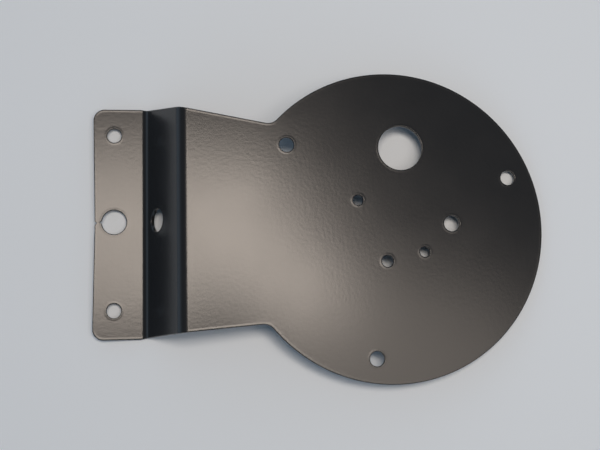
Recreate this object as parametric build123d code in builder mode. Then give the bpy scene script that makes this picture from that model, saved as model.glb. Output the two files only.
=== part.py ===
import os
from math import cos, radians, sin, tan

from build123d import *

os.makedirs("parts", exist_ok=True)

# Motor mounting bracket: one laser-cut sheet, folded twice and powder coated.
# Origin: centre of the round plate, on its upper face.  +Z is normal to that
# face, and -X points to the foot flange, which lies one step lower.

# sheet and folds (radii and fold lines are those of the upper face)
sheet_t = 1.9
step_h = 28.0                # from the upper face of the flange to that of the plate
riser_deg = 60.0             # slope of the riser
neck_reach = 100.5           # from the plate's centre to the upper fold line
upper_fold_r = 7.0
lower_fold_r = 4.0

# round plate and its holes; the pattern as a whole is turned by pattern_deg
plate_r = 75.0
pattern_deg = 21.6
rim_bolt_r = 63.5            # three holes on a 127 mm circle
rim_hole_d = 7.0
screw_r = 20.3               # two screw holes, opposite each other
screw_hole_d = 4.9
opening_r = 38.5             # large opening, between two rim holes
opening_d = 21.6
shaft_r = 17.05
shaft_hole_d = 5.6
side_r = 29.8
side_deg = 2.0
side_hole_d = 7.6

# neck: each edge's distance from the plate's centre line at both ends
neck_wide_top = 57.8         # at the upper fold line
neck_wide_bottom = 48.85
neck_slim_top = 46.4         # at neck_in from the plate's centre
neck_slim_bottom = 43.9
neck_in = 40.0
neck_fillet_r = 6.0

# foot flange
foot_len = 25.95             # from the lower fold line to the long edge's ends
foot_half_w = 57.05
foot_shift_y = 6.05          # the flange sits off the plate's centre line
foot_bow = 0.95              # the long edge is drawn in by this at its middle
foot_corner_r = 5.5
foot_hole_in = 10.3          # hole line, from the long edge's ends
foot_hole_pitch = 86.7
foot_hole_d = 7.0
foot_centre_d = 11.9
foot_holes_up = 0.4          # the hole line's middle, from the flange's middle
side_trim = 0.6              # the sides step in by this where the riser starts
side_trim_in = 2.8

# riser hole
riser_hole_d = 11.3
riser_hole_down = 22.0       # along the riser, from the upper fold line

# where the cutter came in
nick_r = 0.6
nick_out = 0.2               # nick centre, outside the centre hole's edge
edge_nick_in = 0.3           # nick centre, inside the flange's long edge

slope = radians(riser_deg)
skin = sheet_t * tan(slope / 2)
upper_x = -neck_reach
lower_x = upper_x - step_h / tan(slope)
foot_x = lower_x - foot_len
foot_top = foot_shift_y + foot_half_w
foot_bottom = foot_shift_y - foot_half_w
foot_mid_x = foot_x + foot_bow
hole_line_x = foot_x + foot_hole_in
hole_line_y = foot_shift_y + foot_holes_up
far_x = plate_r + sheet_t    # the blank profile runs past both ends
past_x = foot_x - sheet_t
past_y = max(plate_r, foot_top, -foot_bottom) + sheet_t


def polar(radius, degrees):
    angle = radians(degrees)
    return (radius * cos(angle), radius * sin(angle))


def rim_crossing(p, q):
    """Where the line from p to q enters the round plate."""
    dx, dy = q[0] - p[0], q[1] - p[1]
    a, b = dx * dx + dy * dy, p[0] * dx + p[1] * dy
    c = p[0] ** 2 + p[1] ** 2 - plate_r**2
    s = (-b - (b * b - a * c) ** 0.5) / a
    return (p[0] + s * dx, p[1] + s * dy)


# side profile of the folded sheet, as (x, z)
upper_skin = [(far_x, 0), (upper_x, 0), (lower_x, -step_h), (past_x, -step_h)]
lower_skin = [
    (past_x, -step_h - sheet_t),
    (lower_x + skin, -step_h - sheet_t),
    (upper_x + skin, -sheet_t),
    (far_x, -sheet_t),
]
folds = [
    (upper_skin[1], upper_fold_r),
    (upper_skin[2], lower_fold_r),
    (lower_skin[1], lower_fold_r + sheet_t),
    (lower_skin[2], upper_fold_r - sheet_t),
]

# the blank's outline, seen from above
neck_top = [(upper_x, neck_wide_top), (-neck_in, neck_slim_top)]
neck_bottom = [(upper_x, -neck_wide_bottom), (-neck_in, -neck_slim_bottom)]
outline = [
    (foot_mid_x, foot_shift_y),
    (foot_x, foot_top),
    (lower_x - side_trim_in, foot_top),
    (lower_x, foot_top - side_trim),
    *neck_top,
    *reversed(neck_bottom),
    (lower_x, foot_bottom + side_trim),
    (lower_x - side_trim_in, foot_bottom),
    (foot_x, foot_bottom),
]
rounded = [
    (rim_crossing(*neck_top), neck_fillet_r),
    (rim_crossing(*neck_bottom), neck_fillet_r),
    ((foot_x, foot_top), foot_corner_r),
    ((foot_x, foot_bottom), foot_corner_r),
]

riser_plane = Plane(
    origin=(
        upper_x - riser_hole_down * cos(slope),
        foot_shift_y,
        -riser_hole_down * sin(slope),
    ),
    x_dir=(0, 1, 0),
    z_dir=(-sin(slope), 0, cos(slope)),
)
below = Plane.XY.offset(-step_h - 3 * sheet_t)
through = step_h + 6 * sheet_t

with BuildPart() as bracket_plate:
    # folded strip
    with BuildSketch(Plane.XZ) as profile:
        with BuildLine():
            Polyline(*upper_skin, *lower_skin, close=True)
        make_face()
        for corner, radius in folds:
            fillet(profile.vertices().sort_by_distance(corner)[0], radius=radius)
    extrude(amount=past_y, both=True)

    # cut to the outline
    with BuildSketch(below) as blank:
        with BuildLine():
            Polyline(*outline, close=True)
        make_face()
        Circle(plate_r)
        for corner, radius in rounded:
            fillet(blank.vertices().sort_by_distance(corner)[0], radius=radius)
    extrude(amount=through, mode=Mode.INTERSECT)

    # holes square to the plate and to the flange
    with BuildSketch(below):
        with PolarLocations(rim_bolt_r, 3, start_angle=pattern_deg):
            Circle(rim_hole_d / 2)
        with PolarLocations(screw_r, 2, start_angle=pattern_deg + 120):
            Circle(screw_hole_d / 2)
        with Locations(polar(opening_r, pattern_deg + 60)):
            Circle(opening_d / 2)
        with Locations(polar(shaft_r, pattern_deg + 240)):
            Circle(shaft_hole_d / 2)
        with Locations(polar(side_r, side_deg)):
            Circle(side_hole_d / 2)
        with Locations((hole_line_x, hole_line_y)):
            with GridLocations(0, foot_hole_pitch, 1, 2):
                Circle(foot_hole_d / 2)
            Circle(foot_centre_d / 2)
        with Locations(
            (hole_line_x - foot_centre_d / 2 - nick_out, hole_line_y),
            (foot_mid_x + edge_nick_in, foot_shift_y),
        ):
            Circle(nick_r)
    extrude(amount=through, mode=Mode.SUBTRACT)

    # hole square to the riser
    with BuildSketch(riser_plane):
        Circle(riser_hole_d / 2)
    extrude(amount=2 * sheet_t, both=True, mode=Mode.SUBTRACT)

bracket_plate.part.label = "bracket_plate"
export_step(bracket_plate.part, "parts/bracket_plate.step")
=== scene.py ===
from math import asin, atan2, cos, hypot, pi, radians, sin, tan

import bmesh
import bpy
from mathutils import Euler, Matrix, Vector


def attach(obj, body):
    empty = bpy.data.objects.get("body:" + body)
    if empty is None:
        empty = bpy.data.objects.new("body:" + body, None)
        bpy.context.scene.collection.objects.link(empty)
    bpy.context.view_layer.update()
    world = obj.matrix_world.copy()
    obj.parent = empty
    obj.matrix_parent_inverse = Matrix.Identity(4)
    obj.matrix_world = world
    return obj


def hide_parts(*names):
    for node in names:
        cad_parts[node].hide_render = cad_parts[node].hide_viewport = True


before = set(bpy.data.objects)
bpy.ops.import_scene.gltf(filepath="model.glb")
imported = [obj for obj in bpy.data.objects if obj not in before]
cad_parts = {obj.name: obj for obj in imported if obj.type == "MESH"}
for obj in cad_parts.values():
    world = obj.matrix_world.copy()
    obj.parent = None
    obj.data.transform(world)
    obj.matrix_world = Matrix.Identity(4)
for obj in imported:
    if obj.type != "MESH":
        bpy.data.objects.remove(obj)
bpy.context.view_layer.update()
mm = 0.001
print("frame loaded")


# camera

camera = {
    "place": (-102.782, -57.869, 424.779),  # mm
    "turn": (7.9623, -7.6452, -1.4024),     # degrees
    "lens": 55.0155,
    "sensor": 36.0,
    "near": 0.01,                           # m, what the camera takes in
    "far": 20.0,
}


def makeCamera(values):
    data = bpy.data.cameras.new("camera")
    data.sensor_width = values["sensor"]
    data.sensor_fit = "HORIZONTAL"
    data.lens = values["lens"]
    data.clip_start, data.clip_end = values["near"], values["far"]
    made = bpy.data.objects.new("camera", data)
    made.location = Vector(values["place"]) * mm
    made.rotation_euler = Euler([radians(a) for a in values["turn"]], "XYZ")
    bpy.context.scene.collection.objects.link(made)
    bpy.context.scene.camera = made


makeCamera(camera)


# coated sheet: lengths in mm. The blank is cut and coated flat, then folded.
# On the blank x runs along the strip from the plate's centre, and z is the
# height over the upper face.

sheet = {
    "thickness": 1.9,
    "bend": radians(60.0),       # of both folds
    "step": 28.0,
    "upperFold": 7.0,            # radii of the upper face
    "lowerFold": 4.0,
    "foldSteps": 14,
    "plateRadius": 75.0,
    "plateSteps": 220,
    "neckTop": ((-100.5, 57.8), (-40.0, 46.4)),
    "neckBottom": ((-100.5, -48.85), (-40.0, -43.9)),
    "neckFillet": 6.0,
    "footLength": 25.95,
    "footHalf": 57.05,
    "footShift": 6.05,
    "footBow": 0.95,
    "footCorner": 5.5,
    "sideTrim": 0.6,
    "sideTrimIn": 2.8,
    "filletSteps": 9,
    "cornerSteps": 12,
    "nick": 0.62,                # half its width, its two depths and its reach
    "edgeNick": 0.9,
    "holeNick": 0.8,
    "nickFade": 3.0,
    "nickStretch": 1.0,          # the long edge is divided this far each way
    "nickCuts": 17,
    "edgeRound": 0.36,           # of the coated edges
    "edgeSteps": 3,
    "flatRing": 0.07,            # keeps the faces flat up to the rounding
    "beadWide": 0.9,             # the coat stands a little thicker here
    "beadHigh": 0.03,
    "beadRings": ((0.3, 0), (0.35, -0.5), (0.35, -0.5)),   # shares of the two
    "plateTurn": 21.6,           # of the plate's holes, in degrees
    "plateHoles": (              # radius from the plate's centre, angle, diameter
        (63.5, 0, 7.0),
        (63.5, 120, 7.0),
        (63.5, 240, 7.0),
        (20.3, 120, 4.9),
        (20.3, 300, 4.9),
        (38.5, 60, 21.6),
        (17.05, 240, 5.6),
        (29.8, -19.6, 7.6),
    ),
    "footHoles": ((10.3, 49.8, 7.0), (10.3, -36.9, 7.0)),  # in, y, diameter
    "footCentre": (10.3, 6.45, 11.9),                      # the same
    "riserHole": (22.0, 6.05, 11.3),                       # down the slope, y, diameter
    "leastSteps": 48,            # round a hole
    "stepsPerMm": 6,             # of a hole's diameter
    "nickedSteps": 150,
}
tiny = 0.002                     # mm, closer than this is the same place

bend = sheet["bend"]
upperRadius, lowerRadius = sheet["upperFold"], sheet["lowerFold"]
foldUpper = sheet["neckTop"][0][0]                   # fold lines from above
foldLower = foldUpper - sheet["step"] / tan(bend)
flangeX = foldLower - lowerRadius * tan(bend / 2)    # where the flange is flat
footX = foldLower - sheet["footLength"]
footMidX = footX + sheet["footBow"]
runUpper = foldUpper + upperRadius * tan(bend / 2)   # the folds, on the blank
runRiser = runUpper - upperRadius * bend
slopeLength = sheet["step"] / sin(bend) - (upperRadius + lowerRadius) * tan(bend / 2)
runLower = runRiser - slopeLength
runFlange = runLower - lowerRadius * bend
riserX = runUpper - upperRadius * sin(bend)


def blankX(x):
    # place on the blank of a point that lies at x from above
    if x >= runUpper:
        return x
    if x >= riserX:
        return runUpper - upperRadius * asin((runUpper - x) / upperRadius)
    if x >= flangeX + lowerRadius * sin(bend):
        return runRiser - (riserX - x) / cos(bend)
    if x >= flangeX:
        return runFlange + lowerRadius * asin((x - flangeX) / lowerRadius)
    return runFlange + x - flangeX


def folded(co):
    # a point of the blank, after both folds
    run, y, high = co
    if run >= runUpper:
        return Vector((run, y, high))
    start = Vector((runUpper, -upperRadius))
    if run >= runRiser:
        turn = (runUpper - run) / upperRadius
        flat = start + Vector((-sin(turn), cos(turn))) * (upperRadius + high)
    else:
        out = Vector((-sin(bend), cos(bend)))
        along = Vector((-cos(bend), -sin(bend)))
        top = start + out * upperRadius
        if run >= runLower:
            flat = top + along * (runRiser - run) + out * high
        elif run >= runFlange:
            centre = top + along * slopeLength + out * lowerRadius
            turn = bend - (runLower - run) / lowerRadius
            flat = centre - Vector((-sin(turn), cos(turn))) * (lowerRadius - high)
        else:
            flat = Vector((flangeX + run - runFlange, high - sheet["step"]))
    return Vector((flat.x, y, flat.y))


def lineTo(bm, last, x, y):
    end = bm.verts.new((x, y, 0))
    bm.edges.new((last, end))
    return end


def arcTo(bm, last, centre, turn, steps):
    # carries the outline round a centre by an angle in radians
    arc = bmesh.ops.spin(bm, geom=[last], cent=(centre[0], centre[1], 0), axis=(0, 0, 1),
                         angle=turn, steps=steps, use_duplicate=False)
    return only(bmesh.types.BMVert, arc["geom_last"])[0]


def neckTangents(neck, side):
    # where the neck's straight edge meets its fillet, and the fillet the plate
    outer, inner = Vector(neck[0]), Vector(neck[1])
    along = (outer - inner).normalized()
    out = Vector((-along.y, along.x))
    out = out if out.y * side > 0 else -out
    radius = sheet["neckFillet"]
    reach = sheet["plateRadius"] + radius
    base = inner + out * radius
    middle = base.dot(along)
    beyond = (middle * middle - base.length_squared + reach * reach) ** 0.5
    centre = base + along * (beyond - middle)
    return centre - out * radius, centre, centre * (sheet["plateRadius"] / reach)


def turnBetween(centre, first, second):
    a, b = Vector(first) - Vector(centre), Vector(second) - Vector(centre)
    return atan2(a.x * b.y - a.y * b.x, a.dot(b))


def cutOutline(bm):
    top, topCentre, topPlate = neckTangents(sheet["neckTop"], 1)
    low, lowCentre, lowPlate = neckTangents(sheet["neckBottom"], -1)
    shift, half, steps = sheet["footShift"], sheet["footHalf"], sheet["filletSteps"]
    trim, trimIn, near = sheet["sideTrim"], sheet["sideTrimIn"], sheet["nickStretch"]
    sweep = turnBetween((0, 0), lowPlate, topPlate)
    sweep += 2 * pi if sweep <= 0 else 0

    # round the plate and along the neck to the flange
    at = bm.verts.new((lowPlate.x, lowPlate.y, 0))
    at = arcTo(bm, at, (0, 0), sweep, sheet["plateSteps"])
    at = arcTo(bm, at, topCentre, turnBetween(topCentre, topPlate, top), steps)
    at = lineTo(bm, at, blankX(foldUpper), sheet["neckTop"][0][1])
    at = lineTo(bm, at, blankX(foldLower), shift + half - trim)
    at = lineTo(bm, at, blankX(foldLower - trimIn), shift + half)
    cornerTop = lineTo(bm, at, blankX(footX), shift + half)

    # down the long edge, where a short stretch is left for the nick, and back
    start = lineTo(bm, cornerTop, blankX(footMidX), shift + near)
    end = lineTo(bm, start, blankX(footMidX), shift - near)
    cornerLow = lineTo(bm, end, blankX(footX), shift - half)
    at = lineTo(bm, cornerLow, blankX(foldLower - trimIn), shift - half)
    at = lineTo(bm, at, blankX(foldLower), shift - half + trim)
    at = lineTo(bm, at, blankX(foldUpper), sheet["neckBottom"][0][1])
    at = lineTo(bm, at, low.x, low.y)
    arcTo(bm, at, lowCentre, turnBetween(lowCentre, low, lowPlate), steps)

    nickEdge = bm.edges.get((start, end))
    bmesh.ops.bevel(bm, geom=[cornerTop, cornerLow], affect="VERTICES",
                    segments=sheet["cornerSteps"], offset=sheet["footCorner"],
                    offset_type="OFFSET", profile=0.5, material=-1)
    bmesh.ops.subdivide_edges(bm, edges=[nickEdge], cuts=sheet["nickCuts"])


def cutHole(bm, x, y, diameter, steps=0):
    steps = steps or max(sheet["leastSteps"], int(diameter * sheet["stepsPerMm"]))
    bmesh.ops.create_circle(bm, cap_ends=False, segments=steps, radius=diameter / 2,
                            matrix=Matrix.Translation((x, y, 0)))


def dent(depth, aside, away):
    # how far a point goes in, where the cutter came in
    across = min(1, abs(aside) / sheet["nick"])
    return depth * (1 - across ** 2) ** 0.5 * (1 - away / sheet["nickFade"]) ** 2


def nicked(co):
    # a nick in the long edge, and one in the centre hole's near side
    run, y, high = co
    inward, middle, diameter = sheet["footCentre"]
    holeX = blankX(footX + inward)
    away = hypot(run - holeX, y - middle) - diameter / 2
    if -tiny < away < sheet["nickFade"] and run < holeX:
        run -= dent(sheet["holeNick"], y - middle, away)
    inside = run - blankX(footMidX)
    if inside < sheet["nickFade"]:
        run += dent(sheet["edgeNick"], y - sheet["footShift"], inside)
    return Vector((run, y, high))


def only(kind, geometry):
    return [part for part in geometry if isinstance(part, kind)]


def fill(bm, edges):
    made = bmesh.ops.triangle_fill(bm, use_beauty=True, edges=edges, normal=(0, 0, 1))["geom"]
    faces = only(bmesh.types.BMFace, made)
    for face in faces:
        face.normal_update()
        if face.normal.z < 0:
            face.normal_flip()
    return faces


def empty(bm, faces):
    # takes the filling out again, and leaves its outer edges
    filled = set(faces)
    edges = [e for e in bm.edges if not filled.isdisjoint(e.link_faces)]
    inner = [e for e in edges if filled.issuperset(e.link_faces)]
    rim = [e for e in edges if not filled.issuperset(e.link_faces)]
    bmesh.ops.delete(bm, geom=faces, context="FACES_ONLY")
    bmesh.ops.delete(bm, geom=inner, context="EDGES")
    return rim


def raiseRing(bm, faces, wide, high):
    # a ring inside every edge of the blank, and what is inside it goes up
    bmesh.ops.inset_region(bm, faces=faces, thickness=wide, depth=high,
                           use_boundary=True, use_even_offset=True)
    return fill(bm, empty(bm, faces))


def splitAtFolds(bm):
    # splits the rings where the blank bends, and fills each strip by itself
    lines = []
    for start, end in ((runUpper, runRiser), (runLower, runFlange)):
        steps = sheet["foldSteps"]
        lines += [start + (end - start) * i / steps for i in range(steps + 1)]
    for line in lines:
        bmesh.ops.bisect_plane(bm, geom=bm.verts[:] + bm.edges[:] + bm.faces[:],
                               dist=tiny / 2, plane_no=(1, 0, 0), plane_co=(line, 0, 0))
    midRound = -sheet["edgeRound"] / 2
    inner = [e for e in bm.edges if e.is_boundary and e.verts[0].co.z > midRound]
    verts = [v for v in bm.verts if v.is_boundary and v.co.z > midRound]
    for line in lines:
        inner.append(bm.edges.new([v for v in verts if abs(v.co.x - line) < tiny]))
    past = 2 * sheet["plateRadius"]
    for right, left in zip([past] + lines, lines + [-2 * past]):
        fill(bm, [e for e in inner
                  if all(left - tiny < v.co.x < right + tiny for v in e.verts)])


def ringsInward():
    # each ring's width and how far it rises: the rounded edge, then the coat's
    # bead between two flat rings
    radius, steps = sheet["edgeRound"], sheet["edgeSteps"]
    quarter = [pi / 2 * i / steps for i in range(steps + 1)]
    rounding = [(radius * (cos(low) - cos(high)), radius * (sin(high) - sin(low)))
                for low, high in zip(quarter, quarter[1:])]
    bead = [(sheet["beadWide"] * wide, sheet["beadHigh"] * high)
            for wide, high in sheet["beadRings"]]
    flat = (sheet["flatRing"], 0)
    return [*rounding, flat, *bead, flat]


def cutHoles(bm):
    for reach, angle, diameter in sheet["plateHoles"]:
        turn = radians(angle + sheet["plateTurn"])
        cutHole(bm, reach * cos(turn), reach * sin(turn), diameter)
    for inward, y, diameter in sheet["footHoles"]:
        cutHole(bm, blankX(footX + inward), y, diameter)
    inward, y, diameter = sheet["footCentre"]
    cutHole(bm, blankX(footX + inward), y, diameter, sheet["nickedSteps"])
    down, y, diameter = sheet["riserHole"]
    cutHole(bm, runRiser - down + upperRadius * tan(bend / 2), y, diameter)


def meshObject(name, bm):
    mesh = bpy.data.meshes.new(name)
    bm.to_mesh(mesh)
    bm.free()
    made = bpy.data.objects.new(name, mesh)
    bpy.context.scene.collection.objects.link(made)
    return made


def makeCoatedSheet():
    bm = bmesh.new()
    cutOutline(bm)
    cutHoles(bm)
    bmesh.ops.remove_doubles(bm, verts=bm.verts[:], dist=2 * tiny)
    inside = fill(bm, bm.edges[:])
    print("blank cut", len(inside))

    # the upper skin, from the wall inwards
    radius, half = sheet["edgeRound"], sheet["thickness"] / 2
    bmesh.ops.translate(bm, verts=bm.verts[:], vec=(0, 0, -radius))
    for wide, high in ringsInward():
        inside = raiseRing(bm, inside, wide, high)
    empty(bm, inside)
    splitAtFolds(bm)

    # half the wall, then the other half mirrored about the middle
    rim = [e for e in bm.edges if e.is_boundary]
    wall = bmesh.ops.extrude_edge_only(bm, edges=rim)["geom"]
    bmesh.ops.translate(bm, verts=only(bmesh.types.BMVert, wall), vec=(0, 0, radius - half))
    bmesh.ops.translate(bm, verts=bm.verts[:], vec=(0, 0, half))
    bmesh.ops.mirror(bm, geom=bm.verts[:] + bm.edges[:] + bm.faces[:], axis="Z",
                     matrix=Matrix.Identity(4), merge_dist=tiny)
    bmesh.ops.translate(bm, verts=bm.verts[:], vec=(0, 0, -half))
    bmesh.ops.recalc_face_normals(bm, faces=bm.faces[:])
    for vert in bm.verts:
        vert.co = folded(nicked(vert.co))
    bmesh.ops.scale(bm, vec=(mm, mm, mm), verts=bm.verts[:])
    for face in bm.faces:
        face.smooth = True
    print("sheet folded", len(bm.faces), "faces, open edges",
          sum(not e.is_manifold for e in bm.edges))
    return meshObject("coatedSheet", bm)


# materials

class Socket:
    # a shader value that takes plain arithmetic
    def __init__(self, shader, link):
        self.shader, self.link = shader, link

    def maths(self, operation, *values):
        return self.shader.add("ShaderNodeMath", {"operation": operation},
                               dict(enumerate(values)))

    def __add__(self, other):
        return self.maths("ADD", self, other)

    def __sub__(self, other):
        return self.maths("SUBTRACT", self, other)

    def __mul__(self, other):
        return self.maths("MULTIPLY", self, other)

    def __rsub__(self, other):
        return self.maths("SUBTRACT", other, self)

    __radd__, __rmul__ = __add__, __mul__


class Shader:
    def __init__(self, owner):
        owner.use_nodes = True
        self.owner, self.tree = owner, owner.node_tree
        self.tree.nodes.clear()

    def add(self, kind, settings=None, inputs=None, output=0):
        node = self.tree.nodes.new(kind)
        for name, value in (settings or {}).items():
            setattr(node, name, value)
        for name, value in (inputs or {}).items():
            if isinstance(value, Socket):
                self.tree.links.new(value.link, node.inputs[name])
            else:
                node.inputs[name].default_value = value
        return Socket(self, node.outputs[output])

    def finish(self, surface, output="ShaderNodeOutputMaterial"):
        out = self.tree.nodes.new(output)
        self.tree.links.new(surface.link, out.inputs["Surface"])
        return self.owner


coat = {
    "color": (0.0135, 0.0140, 0.0155, 1),
    "light": (0.0175, 0.0180, 0.0195, 1),
    "roughness": 0.21,
    "roughnessSpread": 0.05,
    "refraction": 1.5,
    "peelHeight": 0.000020,       # m, of the orange peel
    "peel": {"Scale": 600.0, "Detail": 2.0, "Roughness": 0.5},    # cells per metre
    "cloud": {"Scale": 38.0, "Detail": 3.0, "Roughness": 0.55},   # a slow change
}


def makeCoat():
    shader = Shader(bpy.data.materials.new("blackCoat"))
    place = shader.add("ShaderNodeTexCoord", output="Object")
    peel = shader.add("ShaderNodeTexNoise", {}, {"Vector": place, **coat["peel"]})
    cloud = shader.add("ShaderNodeTexNoise", {}, {"Vector": place, **coat["cloud"]})
    color = shader.add("ShaderNodeMix", {"data_type": "RGBA"},
                       {0: cloud, 6: coat["color"], 7: coat["light"]}, output=2)
    bump = shader.add("ShaderNodeBump", {}, {
        "Strength": 1.0, "Distance": coat["peelHeight"], "Height": peel})
    surface = shader.add("ShaderNodeBsdfPrincipled", {}, {
        "Base Color": color, "IOR": coat["refraction"], "Normal": bump,
        "Roughness": coat["roughness"] + (cloud - 0.5) * coat["roughnessSpread"]})
    return shader.finish(surface)


coatedSheet = makeCoatedSheet()
coatedSheet.data.materials.append(makeCoat())
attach(coatedSheet, "root")
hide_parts("bracket_plate")
print("sheet coated")


# floor: the bracket leans on its lower fold and on the plate's far rim. It is
# see-through from below, so that the underside shows

floor = {
    "lean": 8.232,                # degrees
    "under": (75.0, 0.0, -1.9),   # mm, under the plate's far rim
    "size": 3.0,                  # m
    "color": (0.86, 0.92, 0.98, 1),
    "roughness": 0.9,
}


def makeFloor():
    bm = bmesh.new()
    bmesh.ops.create_grid(bm, x_segments=1, y_segments=1, size=floor["size"] / 2)
    turn = Matrix.Rotation(-radians(floor["lean"]), 4, "Y")
    bmesh.ops.transform(bm, matrix=Matrix.Translation(Vector(floor["under"]) * mm) @ turn,
                        verts=bm.verts[:])
    made = meshObject("floor", bm)
    shader = Shader(bpy.data.materials.new("paleFloor"))
    pale = shader.add("ShaderNodeBsdfPrincipled", {}, {
        "Base Color": floor["color"], "Roughness": floor["roughness"]})
    clear = shader.add("ShaderNodeBsdfTransparent")
    below = shader.add("ShaderNodeNewGeometry", output="Backfacing")
    surface = shader.add("ShaderNodeMixShader", {}, {0: below, 1: pale, 2: clear})
    made.data.materials.append(shader.finish(surface))


makeFloor()


# lights: soft round lamps over the camera, and a sky that is brighter low down

lamps = {
    "height": 1.2,                # m over the plate
    "color": (1.0, 0.876, 0.765),
    "level": 1.136,
    "discs": {                    # x, y and radius in m, brightness
        "lampNear": (0.125, 0.050, 0.073, 11.5),
        "lampBack": (-0.015, 0.165, 0.13, 8.6),
        "lampRight": (0.320, -0.200, 0.28, 2.0),
        "lampLeft": (-0.235, 0.160, 0.18, 6.9),
    },
}
sky = {
    "color": (0.72, 0.95, 1.20, 1),
    "horizon": 0.60,              # brightness low down, and overhead
    "overhead": 0.10,
    "lowEnd": 0.15,               # sine of the height where each one ends
    "highEnd": 0.60,
    "shown": (0.80, 0.81, 0.82, 1),   # behind everything
}


def makeLamps():
    for name, (x, y, radius, bright) in lamps["discs"].items():
        data = bpy.data.lights.new(name, "AREA")
        data.shape, data.size = "DISK", 2 * radius
        data.energy = 4 * pi * radius ** 2 * bright * lamps["level"]
        data.color = lamps["color"]
        made = bpy.data.objects.new(name, data)
        made.location = (x, y, lamps["height"])
        bpy.context.scene.collection.objects.link(made)


def makeSky():
    shader = Shader(bpy.data.worlds.new("studio"))
    bpy.context.scene.world = shader.owner
    way = shader.add("ShaderNodeTexCoord", output="Generated")
    rise = shader.add("ShaderNodeSeparateXYZ", {}, {"Vector": way}, output="Z")
    bright = shader.add("ShaderNodeMapRange", {"interpolation_type": "SMOOTHSTEP"}, {
        "Value": rise, "From Min": sky["lowEnd"], "From Max": sky["highEnd"],
        "To Min": sky["horizon"], "To Max": sky["overhead"]})
    around = shader.add("ShaderNodeBackground", {}, {"Color": sky["color"],
                                                    "Strength": bright})
    behind = shader.add("ShaderNodeBackground", {}, {"Color": sky["shown"]})
    seen = shader.add("ShaderNodeLightPath", output="Is Camera Ray")
    shader.finish(shader.add("ShaderNodeMixShader", {}, {0: seen, 1: around, 2: behind}),
                  "ShaderNodeOutputWorld")


makeLamps()
makeSky()
bpy.context.scene.view_settings.view_transform = "Standard"
print("stage lit")
